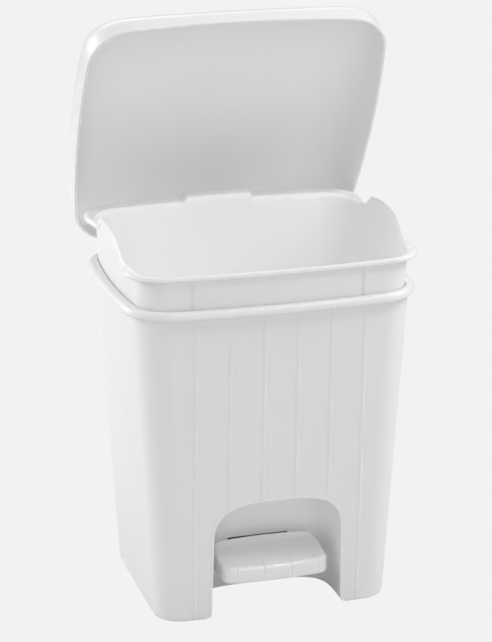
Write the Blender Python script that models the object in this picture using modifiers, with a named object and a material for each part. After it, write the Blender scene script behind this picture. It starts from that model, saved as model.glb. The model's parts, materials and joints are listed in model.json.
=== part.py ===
"""Pedal bin: tapered outer body with a foot niche, removable bucket, domed lid and pedal linkage.

Metres, +Z up, front towards -Y, origin under the middle of the body at floor level.
The lid stands open and the pedal is down: that is the rest pose of every joint.
"""

import math

import bmesh
import bpy
from mathutils import Matrix, Vector

MM = 0.001
GAP = 0.3 * MM
RUNNING_FIT = 0.09 * MM

# The open lid reaches further back than the body, so the whole moves forward to stand centred.
FRAME_SHIFT_Y = -33.8 * MM

# Outer body: half widths (x, y), corner radius and edge bow at the floor and under the rim.
RIM_Z = 327.5 * MM
RIM_BAND = 8 * MM
RIM_HALF = (150 * MM, 122 * MM)
RIM_RADIUS = 41 * MM
BODY_TOP = (142.6 * MM, 115.0 * MM, 30 * MM, 7.4 * MM, 8.2 * MM)
BODY_FOOT = (120.3 * MM, 99.2 * MM, 26 * MM, 0.5 * MM, 3.8 * MM)
BODY_WALL = 2.3 * MM
RIB_PITCH = 33.8 * MM
RIB_WIDTH = 5.6 * MM
RIB_HEIGHT = 0.9 * MM

# Foot niche: arch in the front wall and the pocket behind it.
ARCH_HALF = 68 * MM
ARCH_SPRING_Z = 82 * MM
ARCH_RISE = 42.5 * MM
ARCH_POWER = 2.9
NICHE_BACK_Y = -30 * MM
NICHE_POWER = 4.5
NICHE_WALL = 2.0 * MM
LEVER_SLOT = (32 * MM, 26 * MM, 54.5 * MM)

# Inner bucket.
SHELF_Z = 131 * MM
BUCKET_RIM = (139.3 * MM, 111.8 * MM, 27 * MM, 7.4 * MM, 8.2 * MM)
BUCKET_FOOT = (125.5 * MM, 101.6 * MM, 24 * MM, 3.0 * MM, 5.5 * MM)
BUCKET_WALL = 2.2 * MM
FLANGE_FRONT = (-116.8 * MM, 361.7 * MM)
FLANGE_BACK = (128.5 * MM, 373.4 * MM)
FLANGE_HALF = 149.4 * MM
FLANGE_RADIUS = 31 * MM
EAR_HEIGHT = 15.1 * MM
EAR_FRONT, EAR_NOTCH = -62 * MM, 59.5 * MM
EAR_FLARE = 2.3 * MM
TAB = (-35.2 * MM, 37.2 * MM, 4.5 * MM)
GROOVE_X = (-93 * MM, 86.3 * MM)
GROOVE_HALF = 2.2 * MM
GROOVE_DEPTH = 1.1 * MM

# Lid, described closed and then turned open about its hinge axis.
HINGE_Y, HINGE_Z = 137 * MM, 335.8 * MM
LID_OPEN = math.radians(63.9)
LID_LIP_Z = 330 * MM
LID_BACK_Y, LID_FRONT_Y = 144 * MM, -133.4 * MM
LID_HALF = 156.4 * MM
LID_RADIUS = 36 * MM
LID_LIP = 12.6 * MM
LID_DOME = 65.0 * MM
LID_TAPER = 0.015
LID_WALL = 2.2 * MM
HINGE_X = 60 * MM
KNUCKLE_R = 5.3 * MM
KNUCKLE_HALF = 8 * MM
PIN_R = 2 * MM

# Linkage behind the body.
ROD_R = 2 * MM
ROD_TOP = (128.8 * MM, 340 * MM)
ROD_FOOT_Z = 35.9 * MM
ROD_TRAVEL = 12.1 * MM
STRIKER = (-12.2 * MM, -2.0 * MM, 3 * MM)
BACK_TAPER = (BODY_TOP[1] - BODY_FOOT[1]) / (RIM_Z - RIM_BAND)
HOUSING_HALF = 13 * MM
HOUSING_DEPTH = 19.6 * MM
HOUSING_Z = (10 * MM, 300 * MM)

# Pedal and its lever.
PIVOT = (55 * MM, 33 * MM)
AXLE_R = 2.5 * MM
LEVER_THICK = 5 * MM
PEDAL_HALF = 55.5 * MM
PEDAL_Y = (-102 * MM, -46 * MM)
PEDAL_RADIUS = 10 * MM
PEDAL_TOP = 51 * MM
PEDAL_SKIRT = 15.5 * MM
PEDAL_WALL = 2.5 * MM
PEDAL_SLOPE = 0.14
PEDAL_SCREWS = (18 * MM, -66 * MM)
TREADS = (-42 * MM, -14 * MM, 14 * MM, 42 * MM)

# Screw posts under the bucket shelf, as (x, y).
POSTS = ((-85 * MM, 70 * MM), (85 * MM, 70 * MM), (-94 * MM, -14 * MM), (94 * MM, -14 * MM))


PHASE = 2.1  # keeps the facets of a bore from lying in the faces it cuts

# ---------------------------------------------------------------- scene and helpers

for old in list(bpy.data.objects):
    bpy.data.objects.remove(old, do_unlink=True)
for old in list(bpy.data.collections):
    bpy.data.collections.remove(old)

parts = bpy.data.collections.new("pedal_bin")
cutters = bpy.data.collections.new("cutters")
bpy.context.scene.collection.children.link(parts)
bpy.context.scene.collection.children.link(cutters)
cutters.hide_render = True


def finish(name, mesh, look=None, origin=(0, 0, 0)):
    """Puts a mesh in the scene, as a part when it has a look and as a cutter when it has none."""
    for face in mesh.polygons:
        face.use_smooth = True
    mesh.transform(Matrix.Translation(-Vector(origin)))
    obj = bpy.data.objects.new(name, mesh)
    obj.location = origin
    if look is None:
        cutters.objects.link(obj)
        obj.hide_render = True
        obj.display_type = "WIRE"
        return obj
    parts.objects.link(obj)
    colour, roughness, metallic = look
    material = bpy.data.materials.new(name)
    material.use_nodes = True
    shader = material.node_tree.nodes["Principled BSDF"]
    shader.inputs["Base Color"].default_value = (*colour, 1)
    shader.inputs["Roughness"].default_value = roughness
    shader.inputs["Metallic"].default_value = metallic
    mesh.materials.append(material)
    return obj


def mesh_of(name, points, faces):
    mesh = bpy.data.meshes.new(name)
    mesh.from_pydata([tuple(p) for p in points], [], faces)
    work = bmesh.new()
    work.from_mesh(mesh)
    bmesh.ops.recalc_face_normals(work, faces=work.faces)
    work.to_mesh(mesh)
    work.free()
    return mesh


def loft(name, loops, ring=False, look=None, origin=(0, 0, 0)):
    """A closed solid through loops of equal length: capped at both ends, or a ring of loops."""
    count = len(loops[0])
    points = [p for loop in loops for p in loop]
    faces = []
    for row in range(len(loops) if ring else len(loops) - 1):
        low, high = row * count, (row + 1) % len(loops) * count
        for i in range(count):
            j = (i + 1) % count
            faces.append((low + i, low + j, high + j, high + i))
    if not ring:
        faces.append(tuple(reversed(range(count))))
        faces.append(tuple(range((len(loops) - 1) * count, len(loops) * count)))
    return finish(name, mesh_of(name, points, faces), look, origin)


def plate(name, outline, thickness, look=None, origin=(0, 0, 0)):
    """A flat outline in space, thickened evenly to both sides."""
    obj = finish(name, mesh_of(name, outline, [tuple(range(len(outline)))]), look, origin)
    solid = obj.modifiers.new("thickness", "SOLIDIFY")
    solid.thickness = thickness
    solid.offset = 0
    return obj


def turned(name, profile, start, direction, look=None, steps=16, origin=None):
    """A turned solid: (radius, height) pairs along a direction, from the top of the axis to its foot."""
    mesh = bpy.data.meshes.new(name)
    edges = [(i, i + 1) for i in range(len(profile) - 1)]
    if profile[0][0] > 0:
        edges.append((len(profile) - 1, 0))
    mesh.from_pydata([(r, 0, h) for r, h in profile], edges, [])
    obj = finish(name, mesh, look)
    screw = obj.modifiers.new("turn", "SCREW")
    screw.steps = screw.render_steps = steps
    screw.use_merge_vertices = True
    screw.merge_threshold = 0.00001
    screw.use_smooth_shade = True
    turn = Vector((0, 0, 1)).rotation_difference(Vector(direction)).to_matrix().to_4x4()
    phase = 0 if look else PHASE / steps
    obj.matrix_world = Matrix.Translation(start) @ turn @ Matrix.Rotation(phase, 4, "Z")
    return obj


def rod_profile(radius, low, high, bevel=0.4 * MM):
    return [(0, high), (radius - bevel, high), (radius, high - bevel), (radius, low + bevel),
            (radius - bevel, low), (0, low)]


def tube_profile(outer, inner, low, high):
    return [(outer, high), (outer, low), (inner, low), (inner, high)]


def box(name, low, high, look=None):
    xs, ys, zs = zip(low, high)
    points = [(x, y, z) for z in zs for y in ys for x in xs]
    faces = [(0, 2, 3, 1), (4, 5, 7, 6), (0, 1, 5, 4), (2, 6, 7, 3), (0, 4, 6, 2), (1, 3, 7, 5)]
    return finish(name, mesh_of(name, points, faces), look)


def boolean(target, operation, *others):
    for other in others:
        step = target.modifiers.new(operation.lower(), "BOOLEAN")
        step.operation = operation
        step.solver = "EXACT"
        step.object = other


def cut(target, *others):
    boolean(target, "DIFFERENCE", *others)


def join(target, *others):
    boolean(target, "UNION", *others)


def soften(obj, width, segments=2, angle=40):
    bevel = obj.modifiers.new("edges", "BEVEL")
    bevel.width = width
    bevel.segments = segments
    bevel.limit_method = "ANGLE"
    bevel.angle_limit = math.radians(angle)


# ---------------------------------------------------------------- shared outlines


def mix(a, b, t):
    return tuple(p + (q - p) * t for p, q in zip(a, b))


def grown(section, by):
    return (section[0] + by, section[1] + by, section[2] + by, *section[3:])


def outline(section, z, fronts, sides, backs, corner=6, centre_y=0.0):
    """A bowed rounded rectangle, anticlockwise from the front left corner's end, as a list of points.

    fronts, sides and backs hold the x, y and x of the points along the straight runs.
    """
    half_x, half_y, radius, bow_x, bow_y = section

    def arc(sign_x, sign_y, first):
        for step in range(corner + 1):
            turn = math.radians(first + 90 * step / corner)
            yield (sign_x * (half_x - radius) + radius * math.cos(turn),
                   sign_y * (half_y - radius) + radius * math.sin(turn))

    flat = [(x, -half_y) for x in fronts]
    flat += arc(1, -1, -90)
    flat += [(half_x, y - centre_y) for y in sides]
    flat += arc(1, 1, 0)
    flat += [(x, half_y) for x in reversed(backs)]
    flat += arc(-1, 1, 90)
    flat += [(-half_x, y - centre_y) for y in reversed(sides)]
    flat += arc(-1, -1, 180)
    points = []
    for x, y in flat:
        bowed_x = x * (1 - bow_x / half_x * (y / half_y) ** 2)
        bowed_y = y * (1 - bow_y / half_y * (x / half_x) ** 2)
        points.append(Vector((bowed_x, bowed_y + centre_y, z)))
    return points


def body_section(z, inset=0.0):
    return grown(mix(BODY_FOOT, BODY_TOP, z / (RIM_Z - RIM_BAND)), -inset)


def body_front_y(x, z):
    half_x, half_y, _, _, bow_y = body_section(z)
    return -half_y + bow_y * (x / half_x) ** 2


def body_back_y(x, z):
    return -body_front_y(x, z)


def arch_points(grow, count=10, foot_z=0.0):
    """The arch from its left foot over the top to its right foot, as (x, z) pairs."""
    half, rise = ARCH_HALF + grow, ARCH_RISE + grow
    left = [(-half - 1.5 * MM, foot_z), (-half - 0.4 * MM, ARCH_SPRING_Z * 0.5)]
    over = []
    for step in range(2 * count + 1):
        turn = math.pi * (1 - step / (2 * count))
        c, s = math.cos(turn), math.sin(turn)
        x = math.copysign(abs(c) ** (2 / ARCH_POWER), c) * half
        over.append((x, ARCH_SPRING_Z + rise * max(s, 0.0) ** (2 / ARCH_POWER)))
    right = [(-x, z) for x, z in reversed(left)]
    return left + over + right


WHITE = (0.86, 0.86, 0.86)
PLASTIC = (WHITE, 0.32, 0.0)
LINER = ((0.80, 0.80, 0.80), 0.38, 0.0)
INNER = ((0.62, 0.63, 0.64), 0.45, 0.0)
STEEL = ((0.62, 0.63, 0.65), 0.28, 1.0)


# ---------------------------------------------------------------- outer body

rib_xs = [(i - 2.5) * RIB_PITCH for i in range(6)]
front_xs, crests = [], set()
for rib in rib_xs:
    for side, crest in ((-0.5, 0), (-0.18, 1), (0.18, 1), (0.5, 0)):
        front_xs.append(rib + side * RIB_WIDTH)
        if crest:
            crests.add(len(front_xs) - 1)
body_sides = [-62 * MM, -31 * MM, 0.0, 31 * MM, 62 * MM]
body_backs = [-75 * MM, -45 * MM, -15 * MM, 15 * MM, 45 * MM, 75 * MM]


def body_loop(section, z, ribs=0.0):
    points = outline(section, z, front_xs, body_sides, body_backs)
    for i in crests:
        points[i].y -= ribs
    return points


rim = (*RIM_HALF, RIM_RADIUS, 7.8 * MM, 8.7 * MM)
under_rim_z = RIM_Z - RIM_BAND
body_loops = [
    body_loop(grown(body_section(0), -1.2 * MM), 0.0),
    body_loop(body_section(2 * MM), 2 * MM, RIB_HEIGHT),
    body_loop(body_section(under_rim_z - 2 * MM), under_rim_z - 2 * MM, RIB_HEIGHT),
    body_loop(grown(rim, -1.6 * MM), under_rim_z),
    body_loop(rim, under_rim_z + 1.8 * MM),
    body_loop(rim, RIM_Z - 2 * MM),
    body_loop(grown(rim, -2 * MM), RIM_Z),
    body_loop(body_section(under_rim_z, BODY_WALL), RIM_Z),
    body_loop(body_section(under_rim_z, BODY_WALL), under_rim_z),
    body_loop(body_section(0, BODY_WALL + 0.9 * MM), 0.0),
]
outer_body = loft("outer_body", body_loops, ring=True, look=PLASTIC)

arch = [(x, -130 * MM, z) for x, z in arch_points(0.0, foot_z=-10 * MM)]
arch_cut = loft("arch_cut", [arch, [(x, -75 * MM, z) for x, _, z in arch]])
lever_cut = box("lever_cut", (-10.5 * MM, 90 * MM, 15 * MM), (10.5 * MM, 112 * MM, 42 * MM))
cut(outer_body, arch_cut, lever_cut)


# ---------------------------------------------------------------- foot niche, shelf and base plate

niche_rows = 9


def niche_loops(grow, back_y):
    """The pocket's surface as rows from the arch to its deepest line, each from foot to foot."""
    rows = []
    for row in range(niche_rows):
        turn = math.pi / 2 * row / (niche_rows - 0.4)
        depth = math.sin(turn) ** (2 / NICHE_POWER)
        scale = math.cos(turn) ** (2 / NICHE_POWER)
        loop = []
        for x, z in arch_points(grow, 7, 1.5 * MM):
            front = body_front_y(x, z) - 0.8 * MM
            low = 1.5 * MM + (z - 1.5 * MM) * scale
            loop.append(Vector((x * scale, front + (back_y - front) * depth, low)))
        rows.append(loop)
    return rows


inside = niche_loops(-GAP - NICHE_WALL, NICHE_BACK_Y)
outside = niche_loops(-GAP, NICHE_BACK_Y + NICHE_WALL)
columns = len(inside[0])
skin = [p for row in inside for p in row] + [p for row in outside for p in row]
shift = niche_rows * columns
faces = []
for row in range(niche_rows - 1):
    for i in range(columns - 1):
        a, b = row * columns + i, (row + 1) * columns + i
        faces += [(a, a + 1, b + 1, b), (shift + a, shift + b, shift + b + 1, shift + a + 1)]
for i in range(columns - 1):
    faces.append((i, shift + i, shift + i + 1, i + 1))
last = (niche_rows - 1) * columns
faces.append(tuple(range(last, last + columns)))
faces.append(tuple(reversed(range(shift + last, shift + last + columns))))
for row in range(niche_rows - 1):
    for end in (0, columns - 1):
        a, b = row * columns + end, (row + 1) * columns + end
        faces.append((a, b, shift + b, shift + a))
faces.append((last, shift + last, shift + last + columns - 1, last + columns - 1))
foot_niche = finish("foot_niche", mesh_of("foot_niche", skin, faces), PLASTIC)
slot_half, slot_low, slot_high = LEVER_SLOT
cut(foot_niche, box("slot_cut", (-slot_half, -60 * MM, slot_low), (slot_half, -15 * MM, slot_high)))

shelf_low = SHELF_Z - 2.7 * MM
shelf_inset = BODY_WALL + 0.9 * MM * (1 - shelf_low / (RIM_Z - RIM_BAND)) + 1.5 * GAP
shelf = body_loop(body_section(shelf_low, shelf_inset), SHELF_Z - 1.5 * MM)
few = [-30 * MM, 30 * MM]
bucket_shelf = plate("bucket_shelf", shelf, 2.4 * MM, INNER)
for i, (x, y) in enumerate(POSTS):
    post = turned(f"post_{i}", rod_profile(5 * MM, 7.4 * MM, SHELF_Z - 2 * MM), (x, y, 0), (0, 0, 1),
                  steps=12)
    hole = turned(f"post_hole_{i}", rod_profile(1.9 * MM, 0, 22 * MM, 0.2 * MM), (x, y, 0), (0, 0, 1),
                  steps=12)
    join(bucket_shelf, post)
    cut(bucket_shelf, hole)

base = outline((108 * MM, 56 * MM, 18 * MM, 0, 0), 5.8 * MM, few, few, few, 4)
base_plate = plate("base_plate", [p + Vector((0, 32 * MM, 0)) for p in base], 2.6 * MM, INNER)
for i, (x, y) in enumerate(POSTS):
    cut(base_plate, turned(f"plate_hole_{i}", rod_profile(2.1 * MM, 0, 12 * MM, 0.2 * MM),
                           (x, y, 0), (0, 0, 1), steps=12))

screw_head = [(0, 12 * MM), (1.3 * MM, 12 * MM), (1.6 * MM, 11 * MM), (1.6 * MM, 0), (3.3 * MM, 0),
              (3.0 * MM, -1.4 * MM), (1.6 * MM, -2.0 * MM), (0, -2.0 * MM)]
for i, (x, y) in enumerate(POSTS):
    turned(f"base_screw_{i + 1}", screw_head, (x, y, 4.2 * MM), (0, 0, 1), STEEL, 12)


# ---------------------------------------------------------------- inner bucket

bucket_fronts = []
for x in GROOVE_X:
    bucket_fronts += [x - GROOVE_HALF, x, x + GROOVE_HALF]
bucket_fronts = sorted(bucket_fronts + [-55 * MM, -20 * MM, 15 * MM, 50 * MM])
bucket_sides = [v * MM for v in (-74, -62, -54, -47, -40, -30, -15, 5, 25, 34, 41, 48, 54, 58, 60, 62.5, 72)]
bucket_backs = [v * MM for v in (-80, -36, -34.5, 0, 36.5, 38, 80)]
flange_mid = (FLANGE_FRONT[0] + FLANGE_BACK[0]) / 2
flange_half_y = (FLANGE_BACK[0] - FLANGE_FRONT[0]) / 2


def smooth(t):
    t = min(max(t, 0.0), 1.0)
    return t * t * (3 - 2 * t)


def beside(x, y):
    """True along the two sides, where the ears are."""
    return abs(x) > 0.12 and y < 0.09


def rise(x, y):
    """How far the top edge stands above the flange's plane: the ears and the tab at the back."""
    if beside(x, y):
        front = smooth((y - EAR_FRONT) / (34 * MM))
        back = smooth((EAR_NOTCH - y) / (24 * MM))
        return EAR_HEIGHT * front * back
    if y > 0.11 and TAB[0] < x < TAB[1]:
        return TAB[2]
    return 0.0


def flange_z(y):
    t = (y - FLANGE_FRONT[0]) / (FLANGE_BACK[0] - FLANGE_FRONT[0])
    return FLANGE_FRONT[1] + (FLANGE_BACK[1] - FLANGE_FRONT[1]) * t


def spread(x, y):
    """1 where the flange turns outwards, 0 where an ear stands straight up."""
    if beside(x, y):
        return 1 - smooth((y + 80 * MM) / (24 * MM)) * smooth((62 * MM - y) / (4 * MM))
    return 1.0


def bucket_loop(section, z, corner_y=0.0):
    return outline(section, z, bucket_fronts, bucket_sides, bucket_backs, 6, corner_y)


def grooved(points, depth):
    for x in GROOVE_X:
        points[bucket_fronts.index(x)].y += depth
    return points


wall_top = (BUCKET_RIM[0] + 1.6 * MM, BUCKET_RIM[1] + 1.2 * MM, *BUCKET_RIM[2:])
flange = (FLANGE_HALF, flange_half_y, FLANGE_RADIUS, 5.2 * MM, 7.6 * MM)
foot_z, rim_z = SHELF_Z + 0.6 * MM, RIM_Z


def top_loop(drop, inwards, out):
    """A loop round the top edge, following the flange, the ears and the tab."""
    wall = bucket_loop(grown(wall_top, -inwards), 0.0)
    wide = bucket_loop(flange, 0.0, flange_mid)
    points = []
    for near, far in zip(wall, wide):
        reach = out * spread(near.x, near.y)
        lift = rise(near.x, near.y)
        near.x += math.copysign(EAR_FLARE * (1 - spread(near.x, near.y)), near.x)
        point = near.lerp(far, reach)
        point.z = flange_z(point.y) + lift - drop
        points.append(point)
    return points


bucket_loops = [
    bucket_loop(grown(BUCKET_FOOT, -6 * MM), foot_z),
    bucket_loop(grown(BUCKET_FOOT, -1.2 * MM), foot_z + 2 * MM),
    bucket_loop(BUCKET_FOOT, foot_z + 7 * MM),
    bucket_loop(BUCKET_RIM, rim_z - 12 * MM),
    grooved(bucket_loop(BUCKET_RIM, rim_z - 11 * MM), GROOVE_DEPTH),
    grooved(bucket_loop(grown(BUCKET_RIM, 0.3 * MM), rim_z + 2.5 * MM), GROOVE_DEPTH),
    grooved(top_loop(6.2 * MM, 0.0, 0.0), GROOVE_DEPTH),
    top_loop(5.4 * MM, 0.0, 0.02),
    top_loop(4.8 * MM, 0.0, 0.93),
    top_loop(2.2 * MM, 0.0, 1.0),
    top_loop(0.3 * MM, 0.0, 0.8),
    top_loop(0.0, 0.6 * MM, 0.0),
    top_loop(1.2 * MM, BUCKET_WALL, 0.0),
    bucket_loop(grown(BUCKET_RIM, -BUCKET_WALL), rim_z - 12 * MM),
    bucket_loop(grown(BUCKET_FOOT, -BUCKET_WALL), foot_z + 14 * MM),
    bucket_loop(grown(BUCKET_FOOT, -BUCKET_WALL - 3 * MM), foot_z + 5.5 * MM),
    bucket_loop(grown(BUCKET_FOOT, -BUCKET_WALL - 10 * MM), foot_z + 2.4 * MM),
]
inner_bucket = loft("inner_bucket", bucket_loops, look=LINER)


# ---------------------------------------------------------------- lid

lid_centre_y = (LID_BACK_Y + LID_FRONT_Y) / 2
lid_half_y = (LID_BACK_Y - LID_FRONT_Y) / 2
lid_section = (LID_HALF, lid_half_y, LID_RADIUS, 7.9 * MM, 8.0 * MM)
lid_fronts = [v * MM for v in (-85, -45, 0, 45, 85)]
lid_sides = [v * MM for v in (-70, -35, 0, 35, 70)]


def lid_loop(scale, height, inset=0.0):
    """The lid's outline drawn in towards its middle, at a height above the lip that follows the dome."""
    points = outline(grown(lid_section, -inset), 0.0, lid_fronts, lid_sides, lid_fronts, 6)
    for p in points:
        p.x *= scale * (1 - LID_TAPER * smooth((p.y / lid_half_y + 1) / 2))
        p.y *= scale
        p.z = LID_LIP_Z + (height if height is not None else dome(p, scale, inset))
        p.y += lid_centre_y
    return points


def dome(p, scale, inset):
    """The dome's height: it falls away gently to the front and stays full to the hinge side."""
    forward = min(max(-p.y / (lid_half_y - inset), 0.0), 1.0)
    shoulder = 0.40 - 0.08 * smooth(p.y / lid_half_y * 2)
    crown = (1 - forward**2) ** 0.51 * (1 - scale**8) ** shoulder
    return LID_LIP + LID_DOME * crown - inset * (0.4 + 0.6 * (1 - scale))


dome_scales = [0.9915, 0.97, 0.935, 0.88, 0.80, 0.68, 0.52, 0.34, 0.16, 0.04]
lid_loops = [lid_loop(dome_scales[-1], None, LID_WALL)]
lid_loops += [lid_loop(s, None, LID_WALL) for s in reversed(dome_scales[:-1])]
lid_loops += [lid_loop(1, LID_LIP - 2 * MM, LID_WALL), lid_loop(1, 0.0, LID_WALL - 0.6 * MM),
              lid_loop(1, 0.0, -0.6 * MM), lid_loop(1, 2.4 * MM, -0.8 * MM),
              lid_loop(1, LID_LIP - 1 * MM, 0.0)]
lid_loops += [lid_loop(s, None) for s in dome_scales]
hinge = (0, HINGE_Y, HINGE_Z)
lid = loft("lid", lid_loops, look=PLASTIC, origin=hinge)
open_turn = (-LID_OPEN, 0, 0)


def rides_on_lid(obj):
    """Hangs a piece made in the closed position on the hinge axis, and turns it open."""
    obj.matrix_world = (
        Matrix.Translation(hinge) @ Matrix.Rotation(-LID_OPEN, 4, "X") @ Matrix.Translation(-Vector(hinge))
        @ obj.matrix_world
    )
    return obj


for side in (-1, 1):
    middle = side * HINGE_X
    label = "left" if side < 0 else "right"
    relief_half = KNUCKLE_HALF + 5.8 * MM
    relief = box(f"relief_{label}", (middle - relief_half, HINGE_Y - 8 * MM, LID_LIP_Z - 5 * MM),
                 (middle + relief_half, HINGE_Y + 8 * MM, HINGE_Z + KNUCKLE_R + 1.6 * MM))
    web = box(f"web_{label}", (middle - KNUCKLE_HALF, HINGE_Y - 1.2 * MM, HINGE_Z + 3.4 * MM),
              (middle + KNUCKLE_HALF, HINGE_Y + 4.9 * MM, HINGE_Z + KNUCKLE_R + 6.4 * MM))
    knuckle = turned(f"knuckle_{label}", tube_profile(KNUCKLE_R, PIN_R + RUNNING_FIT, -KNUCKLE_HALF,
                     KNUCKLE_HALF), (middle, HINGE_Y, HINGE_Z), (1, 0, 0), steps=20)
    cut(lid, rides_on_lid(relief))
    join(lid, rides_on_lid(web), rides_on_lid(knuckle))
lid.rotation_euler = open_turn

# Striker: a forked bracket inside the lid's back wall, with the cross pin that the push rod lifts.
striker_y, striker_z, striker_r = HINGE_Y + STRIKER[0], HINGE_Z + STRIKER[1], STRIKER[2]
fork = [(4.1, -4.6), (-14.6, -5.0), (-16.0, -2.4), (-14.0, 3.4), (0.6, 9.4), (4.1, 6.0)]
fork_points = [(HINGE_Y + y * MM, HINGE_Z + z * MM) for y, z in fork]
lid_striker = plate("lid_striker", [(7.6 * MM, y, z) for y, z in fork_points], 2.4 * MM, PLASTIC)
fork_left = plate("fork_left", [(-7.6 * MM, y, z) for y, z in fork_points], 2.4 * MM)
fork_web = box("fork_web", (-8 * MM, HINGE_Y - 13.6 * MM, HINGE_Z + 2.2 * MM),
               (8 * MM, HINGE_Y + 1.6 * MM, HINGE_Z + 4.4 * MM))
fork_bore = turned("fork_bore", rod_profile(1.6 * MM, -12 * MM, 12 * MM, 0.1 * MM),
                   (0, striker_y, striker_z), (1, 0, 0), steps=12)
join(lid_striker, fork_left, fork_web)
cut(lid_striker, fork_bore)
striker_profile = [(0, 9 * MM), (1.5 * MM, 9 * MM), (1.5 * MM, 6 * MM), (striker_r, 6 * MM),
                   (striker_r, -6 * MM), (1.5 * MM, -6 * MM), (1.5 * MM, -9 * MM), (0, -9 * MM)]
striker_pin = turned("striker_pin", striker_profile, (0, striker_y, striker_z), (1, 0, 0),
                        INNER, 16)
for piece in (lid_striker, fork_left, fork_web, fork_bore, striker_pin):
    rides_on_lid(piece)


# ---------------------------------------------------------------- hinge brackets and pins

for side in (-1, 1):
    middle = side * HINGE_X
    label = "left" if side < 0 else "right"
    wall_y = body_back_y(HINGE_X - 13 * MM, 300 * MM) + 0.4 * MM
    wall_top_y = body_back_y(HINGE_X - 13 * MM, 313.5 * MM) + 0.4 * MM
    crown = [(HINGE_Y + 6 * MM * math.cos(a), HINGE_Z + 6 * MM * math.sin(a))
             for a in [math.radians(v) for v in range(155, -41, -28)]]
    cheek = [(wall_y + 1 * MM, 286 * MM), (wall_top_y + 1 * MM, 313 * MM), (124 * MM, 319.6 * MM),
             (124 * MM, 327 * MM), *crown, (131 * MM, 302 * MM), (121 * MM, 286 * MM)]
    far = middle + KNUCKLE_HALF + 2.2 * MM
    near = middle - KNUCKLE_HALF - 2.2 * MM
    bracket = plate(f"hinge_bracket_{label}", [(far, y, z) for y, z in cheek], 3.4 * MM, PLASTIC)
    other = plate(f"cheek_{label}", [(near, y, z) for y, z in cheek], 3.4 * MM)
    pad_loops = []
    for z in (284 * MM, 313.5 * MM):
        y = body_back_y(HINGE_X - 13 * MM, z) + 1.5 * GAP
        pad_loops.append([(middle + dx * MM, y + dy * MM, z)
                          for dx, dy in ((-13, 0), (13, 0), (13, 3), (-13, 3))])
    pad = loft(f"pad_{label}", pad_loops)
    join(bracket, other, pad)
    bore_profile = rod_profile(PIN_R + RUNNING_FIT, -14 * MM, 14 * MM, 0.1 * MM)
    bracket_bore = turned(f"bracket_bore_{label}", bore_profile, (middle, HINGE_Y, HINGE_Z), (1, 0, 0),
                          steps=20)
    cut(bracket, bracket_bore)
    pin = [(0, 13.2 * MM), (3.4 * MM, 13.2 * MM), (3.4 * MM, 12.2 * MM), (PIN_R, 12.2 * MM),
           (PIN_R, -12.6 * MM), (0, -12.6 * MM)]
    turned(f"hinge_pin_{label}", pin, (middle, HINGE_Y, HINGE_Z), (side, 0, 0), STEEL, 16)
    for row, z in enumerate((291 * MM, 306 * MM)):
        start = (middle, body_back_y(HINGE_X - 13 * MM, z + 3 * MM) + 1.5 * GAP + 3.3 * MM, z)
        shank = [(0, 4.6 * MM), (1.5 * MM, 4.6 * MM), (1.5 * MM, 0), (3 * MM, 0), (2.6 * MM, -1.4 * MM),
                 (0, -1.6 * MM)]
        turned(f"bracket_screw_{label}_{row + 1}", shank, start, (0, -1, 0), STEEL, 12)
        hole = turned(f"bracket_hole_{label}_{row}", rod_profile(1.9 * MM, -1 * MM, 16 * MM, 0.1 * MM),
                      start, (0, -1, 0), steps=12)
        cut(bracket, hole)
        cut(outer_body, hole)


# ---------------------------------------------------------------- push rod, guides and housing

along = Vector((0, BACK_TAPER, 1)).normalized()


def rod_y(z):
    return ROD_TOP[0] - (ROD_TOP[1] - z) * BACK_TAPER


def on_rod(z):
    return Vector((0, rod_y(z), z))


rod_low, rod_high = ROD_FOOT_Z + 3.2 * MM, ROD_TOP[1] - 2.4 * MM
rod_length = (on_rod(rod_high) - on_rod(rod_low)).length
turned("push_rod", rod_profile(ROD_R, 0, rod_length), on_rod(rod_low), along, STEEL, 16)
cap_top = HINGE_Z + 10.05 * MM - striker_r - GAP
cap = [(0, 0), (3.8 * MM, 0), (4.5 * MM, -0.8 * MM), (4.5 * MM, -3.4 * MM), (3.4 * MM, -8 * MM),
       (2.15 * MM, -8 * MM), (2.15 * MM, -3.6 * MM), (0, -3.6 * MM)]
turned("rod_cap", cap, on_rod(cap_top), along, INNER, 16)
foot = [(0, 3.0 * MM), (2.15 * MM, 3.0 * MM), (2.15 * MM, 8 * MM), (3.0 * MM, 8 * MM), (3.2 * MM, 1.2 * MM),
        (1.8 * MM, 0), (0, 0)]
turned("rod_foot", foot, on_rod(ROD_FOOT_Z), along, INNER, 16)

for label, z in (("lower", 96 * MM), ("upper", 276 * MM)):
    wall = body_back_y(0, z)
    guide = box(f"rod_guide_{label}", (-8 * MM, wall + 0.6 * MM, z - 4 * MM),
                (8 * MM, rod_y(z) + 4.0 * MM, z + 4 * MM), INNER)
    soften(guide, 0.8 * MM, 1)
    cut(guide, turned(f"guide_bore_{label}", rod_profile(ROD_R + RUNNING_FIT, -20 * MM, 20 * MM, 0.1 * MM),
                      on_rod(z), along, steps=16))

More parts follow.
